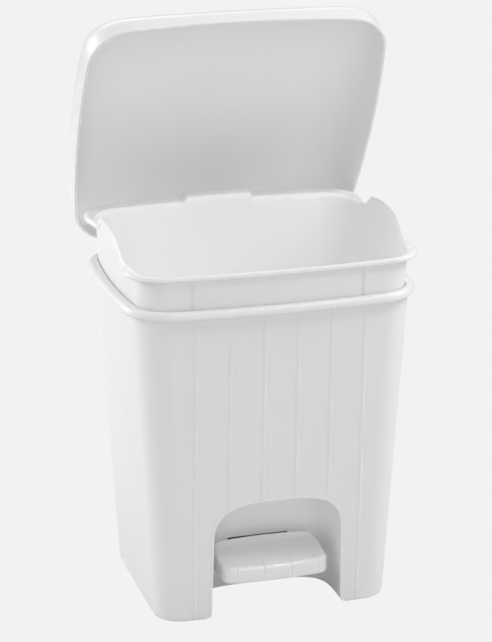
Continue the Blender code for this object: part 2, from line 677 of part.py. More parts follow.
housing_loops = []
channel = [(-20, 0.5), (-20, 2.6), (-13, 2.6), (-13, 15.6), (-9, 19.6), (9, 19.6), (13, 15.6), (13, 2.6),
           (20, 2.6), (20, 0.5), (10.8, 0.5), (10.8, 14.8), (8.2, 17.4), (-8.2, 17.4), (-10.8, 14.8),
           (-10.8, 0.5)]
for z in HOUSING_Z:
    housing_loops.append([Vector((x * MM, body_back_y(0, z) + y * MM, z)) for x, y in channel])
rod_housing = loft("rod_housing", housing_loops, look=PLASTIC)
for row, z in enumerate((48 * MM, 262 * MM)):
    for side in (-1, 1):
        start = (side * 16.5 * MM, body_back_y(0, z) + 2.9 * MM, z)
        rivet = [(0, 4.8 * MM), (1.1 * MM, 4.8 * MM), (1.5 * MM, 4.2 * MM), (1.5 * MM, 0), (2.9 * MM, 0),
                 (2.3 * MM, -1.2 * MM), (0, -1.5 * MM)]
        turned(f"housing_rivet_{2 * row + (side + 3) // 2}", rivet, start, (0, -1, 0), INNER, 12)
        hole = turned(f"rivet_hole_{row}{side + 1}", rod_profile(1.9 * MM, -1 * MM, 12 * MM, 0.1 * MM),
                      start, (0, -1, 0), steps=12)
        cut(rod_housing, hole)
        cut(outer_body, hole)


# ---------------------------------------------------------------- pedal, lever and axle

pivot_y, pivot_z = PIVOT
lever_z = pivot_z
lever_plan = [(-28, -79), (28, -79), (28, -26), (11, -4), (9, 20), (9, 116.4), (-9, 116.4), (-9, 20),
              (-11, -4), (-28, -26)]
pedal_lever = plate("pedal_lever", [(x * MM, y * MM, lever_z) for x, y in lever_plan], LEVER_THICK, INNER,
                    origin=(0, pivot_y, pivot_z))
hub = turned("lever_hub", rod_profile(6.5 * MM, -14.5 * MM, 14.5 * MM), (0, pivot_y, pivot_z), (1, 0, 0),
             steps=20)
hub_bore = turned("lever_bore", rod_profile(AXLE_R + RUNNING_FIT, -20 * MM, 20 * MM, 0.1 * MM),
                  (0, pivot_y, pivot_z), (1, 0, 0), steps=20)
join(pedal_lever, hub)
cut(pedal_lever, hub_bore)

turned("pedal_axle", rod_profile(AXLE_R, -30 * MM, 30 * MM), (0, pivot_y, pivot_z), (1, 0, 0), STEEL, 20)
for side, label in ((-1, "left"), (1, "right")):
    x = side * 19.5 * MM
    bearing = [(x, pivot_y - 8 * MM, 7.4 * MM), (x, pivot_y + 8 * MM, 7.4 * MM),
               (x, pivot_y + 6 * MM, pivot_z), (x, pivot_y + 4.6 * MM, pivot_z + 4.6 * MM),
               (x, pivot_y, pivot_z + 6.4 * MM), (x, pivot_y - 4.6 * MM, pivot_z + 4.6 * MM),
               (x, pivot_y - 6 * MM, pivot_z)]
    block = plate(f"axle_bearing_{label}", bearing, 9 * MM, INNER)
    cut(block, turned(f"bearing_bore_{label}", rod_profile(AXLE_R + RUNNING_FIT, -12 * MM, 12 * MM, 0.1 * MM),
                      (x, pivot_y, pivot_z), (1, 0, 0), steps=20))
    turned(f"axle_clip_{label}", tube_profile(4.6 * MM, AXLE_R + RUNNING_FIT, -0.5 * MM, 0.5 * MM),
           (side * 26.5 * MM, pivot_y, pivot_z), (1, 0, 0), STEEL, 16)

pedal_mid = (PEDAL_Y[0] + PEDAL_Y[1]) / 2
pedal_half_y = (PEDAL_Y[1] - PEDAL_Y[0]) / 2
pedal_few = [v * MM for v in (-30, -10, 10, 30)]


def pedal_top(y):
    return PEDAL_TOP + PEDAL_SLOPE * (y - PEDAL_Y[0])


def pedal_loop(inset, z, sloped=True):
    """One loop of the pedal, level at the skirt and climbing to the rear at the top."""
    section = (PEDAL_HALF - inset, pedal_half_y - inset, PEDAL_RADIUS - inset, 1.5 * MM, 3.5 * MM)
    points = outline(section, z, pedal_few, [pedal_mid], pedal_few, 5, pedal_mid)
    for p in points if sloped else ():
        p.z += PEDAL_SLOPE * (p.y - PEDAL_Y[0])
    return points


pedal_low = PEDAL_TOP - PEDAL_SKIRT
pedal_loops = [
    pedal_loop(PEDAL_WALL + 3 * MM, PEDAL_TOP - PEDAL_WALL),
    pedal_loop(PEDAL_WALL, PEDAL_TOP - PEDAL_WALL - 3 * MM),
    pedal_loop(PEDAL_WALL - 0.4 * MM, pedal_low, False),
    pedal_loop(0.6 * MM, pedal_low, False),
    pedal_loop(0.0, pedal_low + 0.8 * MM, False),
    pedal_loop(0.4 * MM, PEDAL_TOP - 4 * MM),
    pedal_loop(1.6 * MM, PEDAL_TOP - 1.4 * MM),
    pedal_loop(4.2 * MM, PEDAL_TOP),
]
pedal = loft("pedal", pedal_loops, look=PLASTIC, origin=(0, pivot_y, pivot_z))
for side in (-1, 1):
    x, y = side * PEDAL_SCREWS[0], PEDAL_SCREWS[1]
    under = lever_z + LEVER_THICK / 2
    boss = turned(f"boss_{side + 1}", rod_profile(4.5 * MM, under + GAP, pedal_top(y) - 1.5 * MM), (x, y, 0),
                  (0, 0, 1), steps=12)
    boss_hole = turned(f"boss_hole_{side + 1}", rod_profile(1.9 * MM, under - 2 * MM, PEDAL_TOP - 3 * MM),
                       (x, y, 0), (0, 0, 1), steps=12)
    lever_hole = turned(f"lever_hole_{side + 1}", rod_profile(1.95 * MM, 20 * MM, 42 * MM), (x, y, 0),
                        (0, 0, 1), steps=12)
    join(pedal, boss)
    cut(pedal, boss_hole)
    cut(pedal_lever, lever_hole)
    screw = [(0, 12 * MM), (1.2 * MM, 12 * MM), (1.5 * MM, 11 * MM), (1.5 * MM, 0), (3.2 * MM, 0),
             (2.8 * MM, -1.6 * MM), (0, -2.0 * MM)]
    turned(f"pedal_screw_{'left' if side < 0 else 'right'}", screw,
           (x, y, lever_z - LEVER_THICK / 2 - GAP), (0, 0, 1), STEEL, 12)
notch = box("pedal_notch", (-29 * MM, PEDAL_Y[1] - 10 * MM, 30 * MM),
            (29 * MM, PEDAL_Y[1] + 4 * MM, lever_z + LEVER_THICK / 2 + 1 * MM))
cut(pedal, notch)
for i, x in enumerate(TREADS):
    groove = []
    left, right = x - 0.8 * MM, x + 0.8 * MM
    for y in (PEDAL_Y[0] - 5 * MM, PEDAL_Y[1] - 6 * MM):
        low, high = pedal_top(y) - 0.8 * MM, pedal_top(y) + 3 * MM
        groove.append([(left, y, low), (right, y, low), (right, y, high), (left, y, high)])
    cut(pedal, loft(f"tread_groove_{i}", groove))


# ---------------------------------------------------------------- frame

for obj in (*parts.objects, *cutters.objects):
    obj.location.y += FRAME_SHIFT_Y
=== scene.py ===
"""The looks of the pedal bin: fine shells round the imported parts, moulded white plastic, pale studio."""

import json
import math

import bmesh
import bpy
from mathutils import Matrix, Vector

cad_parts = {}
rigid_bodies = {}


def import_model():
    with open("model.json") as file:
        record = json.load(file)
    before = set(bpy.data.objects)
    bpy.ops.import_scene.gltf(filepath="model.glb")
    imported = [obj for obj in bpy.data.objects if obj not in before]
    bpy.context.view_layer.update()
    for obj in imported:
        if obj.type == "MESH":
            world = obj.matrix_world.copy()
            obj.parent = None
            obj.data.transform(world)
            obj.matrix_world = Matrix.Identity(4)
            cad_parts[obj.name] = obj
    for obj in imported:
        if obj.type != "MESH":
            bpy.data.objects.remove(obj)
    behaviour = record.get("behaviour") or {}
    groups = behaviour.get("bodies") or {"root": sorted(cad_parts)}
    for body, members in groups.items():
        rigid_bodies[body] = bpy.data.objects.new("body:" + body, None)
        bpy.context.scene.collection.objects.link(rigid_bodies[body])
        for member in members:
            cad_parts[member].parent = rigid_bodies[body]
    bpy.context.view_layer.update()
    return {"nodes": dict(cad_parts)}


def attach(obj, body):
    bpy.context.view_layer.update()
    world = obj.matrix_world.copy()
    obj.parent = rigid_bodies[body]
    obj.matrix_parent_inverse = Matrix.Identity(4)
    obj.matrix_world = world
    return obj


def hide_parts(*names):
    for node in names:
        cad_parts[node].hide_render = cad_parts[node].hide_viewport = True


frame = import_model()
scene = bpy.context.scene

MM = 0.001
SHIFT_Y = -33.8  # the body's middle in the row frame, in millimetres
LID_OPEN = math.radians(63.9)
HINGE_Y, HINGE_Z = 137.0, 335.8


# ---------------------------------------------------------------- mesh helpers, all in millimetres
#
# A section is (half width, half depth, corner radius, bow of the sides, bow of the front and back).


def smooth(t):
    """Eases from 0 to 1 and holds at both ends."""
    t = min(max(t, 0.0), 1.0)
    return t * t * (3 - 2 * t)


def steps(low, high, count):
    """Evenly spaced values from low to high."""
    return [low + (high - low) * i / count for i in range(count + 1)]


def make(name, points, faces, body, replaced=(), slot=None, sharp=35.0, matrix=None):
    """A smooth-shaded mesh from points in millimetres round the body's middle, riding on a CAD body."""
    mesh = bpy.data.meshes.new(name)
    moved = [(matrix @ Vector(p)) if matrix else Vector(p) for p in points]
    mesh.from_pydata([(p.x * MM, (p.y + SHIFT_Y) * MM, p.z * MM) for p in moved], [], faces)
    work = bmesh.new()
    work.from_mesh(mesh)
    bmesh.ops.recalc_face_normals(work, faces=work.faces)
    work.to_mesh(mesh)
    work.free()
    mesh.shade_smooth()
    mesh.set_sharp_from_angle(angle=math.radians(sharp))
    obj = bpy.data.objects.new(name, mesh)
    scene.collection.objects.link(obj)
    if body:
        obj["rides"] = body
        obj["replaced"] = ",".join(replaced)
        obj["slot"] = slot or (replaced[0] if replaced else "")
    return obj


def ring_faces(rows, count, closed_rows=False, closed_loop=True):
    """Quads between successive loops of equal length."""
    faces = []
    for row in range(rows if closed_rows else rows - 1):
        low, high = row * count, (row + 1) % rows * count
        for i in range(count if closed_loop else count - 1):
            j = (i + 1) % count
            faces.append((low + i, low + j, high + j, high + i))
    return faces


def shell(name, loops, body, **more):
    """A closed shell: the last loop joins the first."""
    count = len(loops[0])
    points = [p for loop in loops for p in loop]
    return make(name, points, ring_faces(len(loops), count, closed_rows=True), body, **more)


def capped(name, loops, body, **more):
    """A closed solid through the loops, with a small cap at each end."""
    count = len(loops[0])
    points = [p for loop in loops for p in loop]
    faces = ring_faces(len(loops), count)
    faces.append(tuple(reversed(range(count))))
    faces.append(tuple(range((len(loops) - 1) * count, len(loops) * count)))
    return make(name, points, faces, body, **more)


def cut(obj, *cutters):
    """Takes the cutters out of the mesh for good and removes them."""
    for cutter in cutters:
        step = obj.modifiers.new("cut", "BOOLEAN")
        step.operation, step.solver, step.object = "DIFFERENCE", "EXACT", cutter
        bpy.context.view_layer.update()
        graph = bpy.context.evaluated_depsgraph_get()
        mesh = bpy.data.meshes.new_from_object(obj.evaluated_get(graph))
        obj.modifiers.clear()
        obj.data = mesh
        bpy.data.objects.remove(cutter)
    obj.data.shade_smooth()
    obj.data.set_sharp_from_angle(angle=math.radians(32))


def block(name, low, high, matrix=None):
    """A box between two corners."""
    xs, ys, zs = zip(low, high)
    points = [(x, y, z) for z in zs for y in ys for x in xs]
    faces = [(0, 2, 3, 1), (4, 5, 7, 6), (0, 1, 5, 4), (2, 6, 7, 3), (0, 4, 6, 2), (1, 3, 7, 5)]
    return make(name, points, faces, None, matrix=matrix)


def outline(section, fronts, sides, backs, corner, centre_y=0.0):
    """(x, y) points of a bowed rounded rectangle, anticlockwise from the front's left end."""
    half_x, half_y, radius, bow_x, bow_y = section

    def arc(sign_x, sign_y, first):
        for step in range(corner + 1):
            turn = math.radians(first + 90 * step / corner)
            yield (sign_x * (half_x - radius) + radius * math.cos(turn),
                   sign_y * (half_y - radius) + radius * math.sin(turn))

    flat = [(x, -half_y) for x in fronts]
    flat += arc(1, -1, -90)
    flat += [(half_x, y - centre_y) for y in sides]
    flat += arc(1, 1, 0)
    flat += [(x, half_y) for x in reversed(backs)]
    flat += arc(-1, 1, 90)
    flat += [(-half_x, y - centre_y) for y in reversed(sides)]
    flat += arc(-1, -1, 180)
    return [(x * (1 - bow_x / half_x * (y / half_y) ** 2),
             y * (1 - bow_y / half_y * (x / half_x) ** 2) + centre_y) for x, y in flat]


def grown(section, by):
    """The section offset outwards, or inwards when negative."""
    return (section[0] + by, section[1] + by, section[2] + by, *section[3:])


def mix(a, b, t):
    """Goes from one tuple to the other as t goes from 0 to 1."""
    return tuple(p + (q - p) * t for p, q in zip(a, b))


# ---------------------------------------------------------------- outer body

RIM_Z, BAND_Z = 327.5, 319.5
RIM = (150.0, 121.9, 41.0, 7.8, 8.7)
RIM_INSIDE = (140.0, 112.5, 27.7, 7.4, 8.2)  # just clear of the bucket
BODY_TOP = (142.6, 115.0, 30.0, 7.4, 8.2)
BODY_FOOT = (120.3, 99.2, 26.0, 0.5, 3.8)
WALL, FOOT_EXTRA = 2.3, 0.9  # the wall is thicker towards the foot
EDGE_ROUND, BAND_ROUND = 1.3, 1.5
FACE_BULGE, FACE_DROP = 3.4, 6.0
RIBS = [(i - 2.5) * 33.8 for i in range(6)]
RIB_HEIGHT = 1.0


def body_section(z, inset=0.0):
    """The tapered body's section at a height."""
    return grown(mix(BODY_FOOT, BODY_TOP, z / BAND_Z), -inset)


def body_front_y(x, z):
    half_x, half_y, _, _, bow = body_section(z)
    return -half_y + bow * (x / half_x) ** 2


body_fronts = sorted({round(r + d, 3) for r in RIBS for d in (-3.6, -3.0, -2.4, -1.8, -1.2, -0.6, 0,
                                                              0.4, 0.7, 1.0, 1.3, 1.6, 2.2, 3.0)}
                     | {round(r + d, 3) for r in RIBS for d in (-12, -8, 8, 12, 16.9) if abs(r + d) < 90})
body_sides = steps(-68, 68, 20)
body_backs = steps(-84, 84, 20)


def rib_rise(x):
    """How far a rib stands out: a gentle left flank and a steep right one."""
    across = min((x - r for r in RIBS), key=abs)
    return RIB_HEIGHT * smooth((across + 3.2) / 3.4) * smooth((1.6 - across) / 1.3)


def body_loop(section, z, ribs=0.0, swell=0.0):
    loop = []
    section = grown(section, swell)
    fronts = [x / (1 - section[3] / section[0]) for x in body_fronts]  # the bow pulls them back in
    for x, y in outline(section, fronts, body_sides, body_backs, 16):
        if ribs and y < -60 and abs(x) < 92:
            y -= rib_rise(x) * ribs
        loop.append((x, y, z))
    return loop


def body_loops():
    loops = []
    for angle in (0, 30, 60, 90):  # rounded lower edge
        turn = math.radians(angle)
        z = EDGE_ROUND * (1 - math.cos(turn))
        loops.append(body_loop(body_section(z), z, 0.4, -EDGE_ROUND * (1 - math.sin(turn))))
    for z in steps(4, 148, 24) + steps(160, 312, 8):
        loops.append(body_loop(body_section(z), z, 1.0))
    for back, rib in ((4.5, 0.9), (2.4, 0.4), (1.0, 0.1)):  # cove under the rim
        loops.append(body_loop(body_section(BAND_Z - back), BAND_Z - back, rib, (4.5 - back) ** 2 * 0.05))
    loops.append(body_loop(RIM, BAND_Z, 0, -3.0))
    for angle in (0, 30, 60, 90):  # lower edge of the rim band
        turn = math.radians(angle)
        loops.append(body_loop(RIM, BAND_Z + BAND_ROUND * (1 - math.cos(turn)), 0,
                               -BAND_ROUND * (1 - math.sin(turn))))
    for angle in (8, 18, 28, 38, 48, 58, 68, 79, 90):  # bulging face and rolled top
        turn = math.radians(angle)
        loops.append(body_loop(RIM, RIM_Z - FACE_DROP * (1 - math.sin(turn)), 0,
                               -FACE_BULGE * (1 - math.cos(turn))))
    for back, out in ((0.0, 1.4), (0.2, 0.7), (0.9, 0.1), (4.0, 0.0)):
        loops.append(body_loop(grown(RIM_INSIDE, out), RIM_Z - back))
    loops.append(body_loop(body_section(BAND_Z, WALL), BAND_Z))
    for z in steps(300, 4, 16):
        loops.append(body_loop(body_section(z, WALL + FOOT_EXTRA * (1 - z / BAND_Z)), z))
    loops.append(body_loop(body_section(0, WALL + FOOT_EXTRA), 0.0))
    return loops


ARCH_HALF, ARCH_SPRING, ARCH_RISE, ARCH_POWER = 68.0, 82.0, 42.5, 2.9
FOOT_CORNER = 5.0


def foot_flare(z):
    """Rounds the inner lower corners of the two feet."""
    below = max(1 - max(z - 1.0, 0.0) / FOOT_CORNER, 0.0)
    return FOOT_CORNER * (1 - math.sqrt(max(1 - below**2, 0.0)))


def arch_points(grow, count, foot_z):
    """(x, z) points of the arch from the left foot over the top to the right foot."""
    half, rise = ARCH_HALF + grow, ARCH_RISE + grow
    left = [(-half - 1.5 * (1 - z / ARCH_SPRING) - foot_flare(z), z) for z in
            (foot_z, 1.51, 1.8, 2.2, 2.8, 3.6, 4.6, 5.8, *steps(8, ARCH_SPRING * 0.9, 12))]
    over = []
    for step in range(2 * count + 1):
        turn = math.pi * (1 - step / (2 * count))
        c, s = math.cos(turn), math.sin(turn)
        over.append((math.copysign(abs(c) ** (2 / ARCH_POWER), c) * half,
                     ARCH_SPRING + rise * max(s, 0.0) ** (2 / ARCH_POWER)))
    return left + over + [(-x, z) for x, z in reversed(left)]


body = shell("bin_body", body_loops(), "body", replaced=("outer_body",))
arch = arch_points(0.2, 40, -10)
cut(body, capped("arch_cut", [[(x, -130, z) for x, z in arch], [(x, -75, z) for x, z in arch]], None),
    block("lever_cut", (-10.5, 90, 15), (10.5, 112, 42)))


# ---------------------------------------------------------------- foot niche

NICHE_BACK, NICHE_WALL, NICHE_POWER = -30.0, 2.0, 4.5
NICHE_FIT = 0.3  # play inside the arch
NICHE_START = 1.0  # the pocket's skin begins this far behind the front
NICHE_FOOT, NICHE_STEPS = 1.5, 24


def face_row(grow, proud):
    """A row round the arch that stands proud of the body's front."""
    return [(x, body_front_y(x, z) - proud, z) for x, z in arch_points(grow, NICHE_STEPS, NICHE_FOOT)]


def niche_rows(grow, back_y, depths):
    """The pocket's skin from its front edge to the back, each row running foot to foot."""
    rows = []
    for depth in depths:
        turn = math.pi / 2 * depth
        deep = math.sin(turn) ** (2 / NICHE_POWER) if depth > 0 else 0.0
        scale = math.cos(turn) ** (2 / NICHE_POWER)
        row = []
        for x, z in arch_points(grow, NICHE_STEPS, NICHE_FOOT):
            front = body_front_y(x, z) + NICHE_START
            row.append((x * scale, front + (back_y - front) * deep, NICHE_FOOT + (z - NICHE_FOOT) * scale))
        rows.append(row)
    return rows


def niche_piece():
    """Points and faces of the pocket: inner skin, raised lip round the arch, outer skin."""
    depths = [0.004, 0.012, 0.03, 0.06, 0.10, 0.16, 0.23, 0.31,
              0.40, 0.49, 0.58, 0.67, 0.76, 0.84, 0.90, 0.945]
    inner = niche_rows(-NICHE_FIT - NICHE_WALL, NICHE_BACK, depths)
    outer = niche_rows(-NICHE_FIT, NICHE_BACK + NICHE_WALL, depths)
    lip = []
    for out, proud in ((-2.3, -0.1), (-2.0, 0.15), (-1.4, 0.3), (-0.6, 0.35), (0.1, 0.3), (0.5, 0.1),
                       (0.7, -0.2)):
        lip.append(face_row(out, proud))
    rows = [*reversed(inner), *lip, face_row(-NICHE_FIT, -0.4), *outer]
    count = len(rows[0])
    points = [p for row in rows for p in row]
    faces = ring_faces(len(rows), count, closed_loop=False)
    last = (len(rows) - 1) * count
    faces.append(tuple(range(count)))
    faces.append(tuple(reversed(range(last, last + count))))
    for end in (0, count - 1):
        faces.append(tuple(row * count + end for row in range(len(rows))))
    return points, faces


niche = make("bin_niche", *niche_piece(), "body", replaced=("foot_niche",))
cut(niche, block("slot_cut", (-32, -60, 26), (32, -15, 54.5)))


# ---------------------------------------------------------------- inner bucket

SHELF_Z = 131.0
BUCKET_RIM = (139.3, 111.8, 27.0, 7.4, 8.2)
BUCKET_FOOT = (125.5, 101.6, 24.0, 3.0, 5.5)
BUCKET_WALL = 2.2
FLANGE_FRONT, FLANGE_BACK = (-116.8, 361.7), (128.5, 373.4)
GROOVES, GROOVE_DEPTH = (-88.1, 81.7), 1.5
flange_mid = (FLANGE_FRONT[0] + FLANGE_BACK[0]) / 2
FLANGE = (149.4, (FLANGE_BACK[0] - FLANGE_FRONT[0]) / 2, 31.0, 5.2, 7.6)
EAR_HEIGHT, EAR_ARCH, EAR_FLARE = 14.2, 3.4, 2.3
TAB_HEIGHT = 4.5
WALL_TOP = (BUCKET_RIM[0] + 1.6, BUCKET_RIM[1] + 1.2, *BUCKET_RIM[2:])
bucket_fronts = sorted(set(steps(-98, 98, 34))
                       | {g + d for g in GROOVES for d in (-1.6, -1.4, -1.2, -1.0, -0.8, -0.4, 0,
                                                           0.5, 1.0, 1.5, 2.0, 2.6)})
bucket_sides = sorted(set(steps(-82, 40, 46)) | set(steps(42, 82, 40)))
bucket_backs = sorted(set(steps(-100, 100, 40)) | {-35.2, -34.6, -34.0, 36.0, 36.6, 37.2})


def ear(y):
    """Height of the raised side walls."""
    arched = EAR_ARCH * max(1 - ((y + 4) / 38) ** 2, 0.0)
    return (EAR_HEIGHT + arched) * smooth((y + 66) / 40) * smooth((59.5 - y) / 26)


def rise(x, y):
    """How far the bucket's edge stands above the plane of its flange."""
    if abs(x) > 120 and y < 90:
        return ear(y)
    if y > 110:  # the raised tab at the back
        return TAB_HEIGHT * smooth((x + 35.3) / 1.4) * smooth((37.3 - x) / 1.4)
    return 0.0


def flange_z(y):
    """Height of the flange, which rises a little towards the back."""
    t = (y - FLANGE_FRONT[0]) / (FLANGE_BACK[0] - FLANGE_FRONT[0])
    return FLANGE_FRONT[1] + (FLANGE_BACK[1] - FLANGE_FRONT[1]) * t


def spread(x, y):
    """Share of the flange's full width, which runs out along the ears."""
    if abs(x) > 120 and y < 90:
        return 1 - smooth((y + 80) / 24) * smooth((80 - y) / 26)
    return 1.0


def bucket_outline(section, centre=0.0):
    """(x, y) points round the bucket, with the side points kept clear of the corners."""
    fronts = [x / (1 - section[3] / section[0]) for x in bucket_fronts]
    narrow = min(1.0, (section[1] - section[2]) / (BUCKET_RIM[1] - BUCKET_RIM[2]))
    return outline(section, fronts, [y * narrow + centre for y in bucket_sides], bucket_backs, 16, centre)


def groove(x, y):
    """Depth of the two upright grooves in the front: steep on the left, gentle on the right."""
    if y > -60:
        return 0.0
    across = min((x - g for g in GROOVES), key=abs)
    return GROOVE_DEPTH * smooth((across + 1.6) / 0.8) * smooth((2.6 - across) / 2.8)


def bucket_loop(section, z, grooved=0.0):
    return [(x, y + grooved * groove(x, y), z) for x, y in bucket_outline(section)]


def top_loop(drop, inwards, out, grooved=0.0):
    """A loop along the bucket's edge, a share of the way out from the wall to the flange's tip."""
    loop = []
    for (nx, ny), (fx, fy) in zip(bucket_outline(grown(WALL_TOP, -inwards)),
                                  bucket_outline(FLANGE, flange_mid)):
        reach = out * spread(nx, ny)
        nx += math.copysign(EAR_FLARE * (1 - spread(nx, ny)), nx)
        x, y = nx + (fx - nx) * reach, ny + (fy - ny) * reach
        loop.append((x, y + grooved * groove(nx, ny), flange_z(y) + rise(nx, ny) - drop))
    return loop


def bucket_loops():
    foot = SHELF_Z + 0.6
    loops = [bucket_loop(grown(BUCKET_FOOT, -18 + i * 6), foot) for i in range(3)]
    for angle in (30, 60, 90):
        turn = math.radians(angle)
        loops.append(bucket_loop(grown(BUCKET_FOOT, -6 * (1 - math.sin(turn))),
                                 foot + 6 * (1 - math.cos(turn))))
    for z in steps(150, 306, 8):
        t = (z - foot - 7) / (315.5 - foot - 7)
        loops.append(bucket_loop(mix(BUCKET_FOOT, BUCKET_RIM, t), z))
    loops.append(bucket_loop(BUCKET_RIM, 315.5))
    loops.append(bucket_loop(BUCKET_RIM, 317.0, 1.0))
    loops.append(bucket_loop(grown(BUCKET_RIM, 0.3), 330.0, 1.0))
    top = top_loop(8.4, 0, 0)
    base = bucket_loop(grown(BUCKET_RIM, 0.3), 330.0)
    for t in (0.25, 0.5, 0.75):
        loops.append([(bx + (tx - bx) * t, by + (ty - by) * t + groove(bx, by), bz + (tz - bz) * t)
                      for (bx, by, bz), (tx, ty, tz) in zip(base, top)])
    loops.append(top_loop(8.4, 0, 0, 1.0))
    loops.append(top_loop(7.2, 0.5, 0, 0.8))
    loops.append(top_loop(6.4, 0.9, 0, 0.4))
    loops.append(top_loop(5.7, 0.9, 0))
    loops.append(top_loop(5.3, 0.4, 0.15))
    loops.append(top_loop(5.1, 0, 0.62))
    loops.append(top_loop(5.1, 0, 0.84))
    loops.append(top_loop(4.9, 0, 0.93))
    loops.append(top_loop(4.3, 0, 0.985))
    for angle in (0, 12, 24, 36, 48, 60, 72, 84):  # bulging face of the flange
        turn = math.radians(angle)
        loops.append(top_loop(3.8 * (1 - math.sin(turn)) + 0.02, 0, 0.55 + 0.45 * math.cos(turn)))
    for drop, inwards, out in ((0.1, 0.05, 0.47), (0.6, 0.15, 0.3), (1.5, 0.45, 0.14), (2.8, 0.9, 0.04),
                               (4.4, 1.4, 0.0), (6.6, 1.9, 0.0), (9.0, BUCKET_WALL, 0.0)):
        loops.append(top_loop(drop, inwards, out))  # wide curve into the hollow
    low = bucket_loop(grown(BUCKET_RIM, -BUCKET_WALL), 315.5)
    high = top_loop(9.0, BUCKET_WALL, 0.0)
    for t in (0.25, 0.5, 0.75, 1.0):
        loops.append([mix(h, l, t) for h, l in zip(high, low)])
    for z in steps(300, 155, 8):
        t = (z - foot - 7) / (315.5 - foot - 7)
        loops.append(bucket_loop(grown(mix(BUCKET_FOOT, BUCKET_RIM, t), -BUCKET_WALL), z))
    for angle in (90, 70, 50, 30, 10, 0):
        turn = math.radians(angle)
        loops.append(bucket_loop(grown(BUCKET_FOOT, -BUCKET_WALL - 11 * (1 - math.sin(turn))),
                                 foot + 2.4 + 11 * (1 - math.cos(turn))))
    loops += [bucket_loop(grown(BUCKET_FOOT, -18 - i * 5), foot + 2.4) for i in range(2)]
    return loops


bucket = capped("bin_bucket", bucket_loops(), "body", replaced=("inner_bucket",), sharp=50)


# ---------------------------------------------------------------- lid

LIP_Z, LIP, DOME, LID_WALL = 330.0, 12.6, 64.8, 2.2
LID_BACK, LID_FRONT = 144.0, -133.4
LID_LEAN = 1.6  # the front skirt leans in towards its lip
lid_centre = (LID_BACK + LID_FRONT) / 2
lid_half = (LID_BACK - LID_FRONT) / 2
LID = (156.4, lid_half, 36.0, 7.9, 8.0)
opened = (Matrix.Translation((0, HINGE_Y, HINGE_Z)) @ Matrix.Rotation(-LID_OPEN, 4, "X")
          @ Matrix.Translation((0, -HINGE_Y, -HINGE_Z)))


def dome(y, scale, inset):
    """Height of the lid's top over the plane of its lip."""
    forward = min(max(-y / (lid_half - inset), 0.0), 1.0)
    shoulder = 0.40 - 0.08 * smooth(y / lid_half * 2)
    crown = (1 - forward**2) ** 0.51 * (1 - scale**8) ** shoulder
    return LIP + DOME * crown - inset * (0.4 + 0.6 * (1 - scale))


def lid_loop(scale, height, inset=0.0):
    """A loop of the lid at a height over its lip, or on the dome when height is None."""
    loop = []
    runs = steps(-110, 110, 30)
    for x, y in outline(grown(LID, -inset), runs, steps(-92, 92, 26), runs, 18):
        x *= scale * (1 - 0.015 * smooth((y / lid_half + 1) / 2))
        y *= scale
        if height is not None:
            y += LID_LEAN * (1 - height / LIP) * smooth(-y / lid_half)
        z = LIP_Z + (dome(y, scale, inset) if height is None else height)
        loop.append((x, y + lid_centre, z))
    return loop


def lid_loops():
    scales = [math.cos(math.radians(a)) ** 0.55 for a in
              (2.5, 5, 8, 11, 14, 17, 20, 24, 28, 33, 38, 44, 50, 56, 62, 68, 73, 78, 82, 85, 87.5, 89, 89.8)]
    scales = [s * 0.9985 for s in scales]
    loops = [lid_loop(s, None, LID_WALL) for s in reversed(scales)]
    loops.append(lid_loop(1, LIP - 1.2, LID_WALL))
    loops.append(lid_loop(1, 2.0, LID_WALL))
    loops.append(lid_loop(1, 0.8, LID_WALL - 0.1))
    loops.append(lid_loop(1, 0.2, LID_WALL - 0.5))
    loops.append(lid_loop(1, 0.0, LID_WALL - 1.1))
    loops.append(lid_loop(1, 0.15, 0.3))
    loops.append(lid_loop(1, 0.6, -0.25))
    loops.append(lid_loop(1, 1.3, -0.45))
    loops.append(lid_loop(1, 2.2, -0.4))
    loops.append(lid_loop(1, 3.0, -0.1))
    loops.append(lid_loop(1, 4.0, 0.0))
    loops.append(lid_loop(1, LIP - 1, 0.0))
    loops += [lid_loop(s, None) for s in scales]
    return loops


lid = capped("bin_lid", lid_loops(), "lid", replaced=("lid",), matrix=opened)
for side in (-1, 1):
    cut(lid, block("relief", (side * 60 - 13.8, 129, 325), (side * 60 + 13.8, 145, 342.7), opened))


def gate_loops():
    """The small nub left in the middle of the lid's inner side where the mould was filled."""
    return [[(14.8 + r * math.cos(a), 41 + r * math.sin(a), z) for a in
             (2 * math.pi * i / 20 for i in range(20))]
            for r, z in ((1.1, 406.5), (1.1, 405.5), (1.0, 405.2), (0.7, 405.0), (0.2, 404.9))]


capped("bin_lid_gate", gate_loops(), "lid", slot="lid", matrix=opened)


# ---------------------------------------------------------------- lid knuckles


def tube(name, middle, centre_y, centre_z, outer, inner, half, body, **more):
    """A tube across the bin, with broken edges."""
    ring = 40
    profile = [(inner, -half + 0.3), (inner + 0.3, -half), (outer - 0.5, -half), (outer, -half + 0.5),
               (outer, half - 0.5), (outer - 0.5, half), (inner + 0.3, half), (inner, half - 0.3)]
    loops = []
    for i in range(ring):
        turn = 2 * math.pi * i / ring
        loops.append([(middle + h, centre_y + r * math.cos(turn), centre_z + r * math.sin(turn))
                      for r, h in profile])
    return shell(name, loops, body, **more)


for side, label in ((-1, "left"), (1, "right")):
    tube(f"bin_knuckle_{label}", side * 60, HINGE_Y, HINGE_Z, 5.3, 2.09, 8.0, "lid", slot="lid",
         matrix=opened)
    web = block(f"bin_knuckle_web_{label}", (side * 60 - 7.9, HINGE_Y - 1.2, HINGE_Z + 3.4),
                (side * 60 + 7.9, HINGE_Y + 4.9, HINGE_Z + 11.7), opened)
    web["rides"], web["replaced"], web["slot"] = "lid", "", "lid"


# ---------------------------------------------------------------- pedal

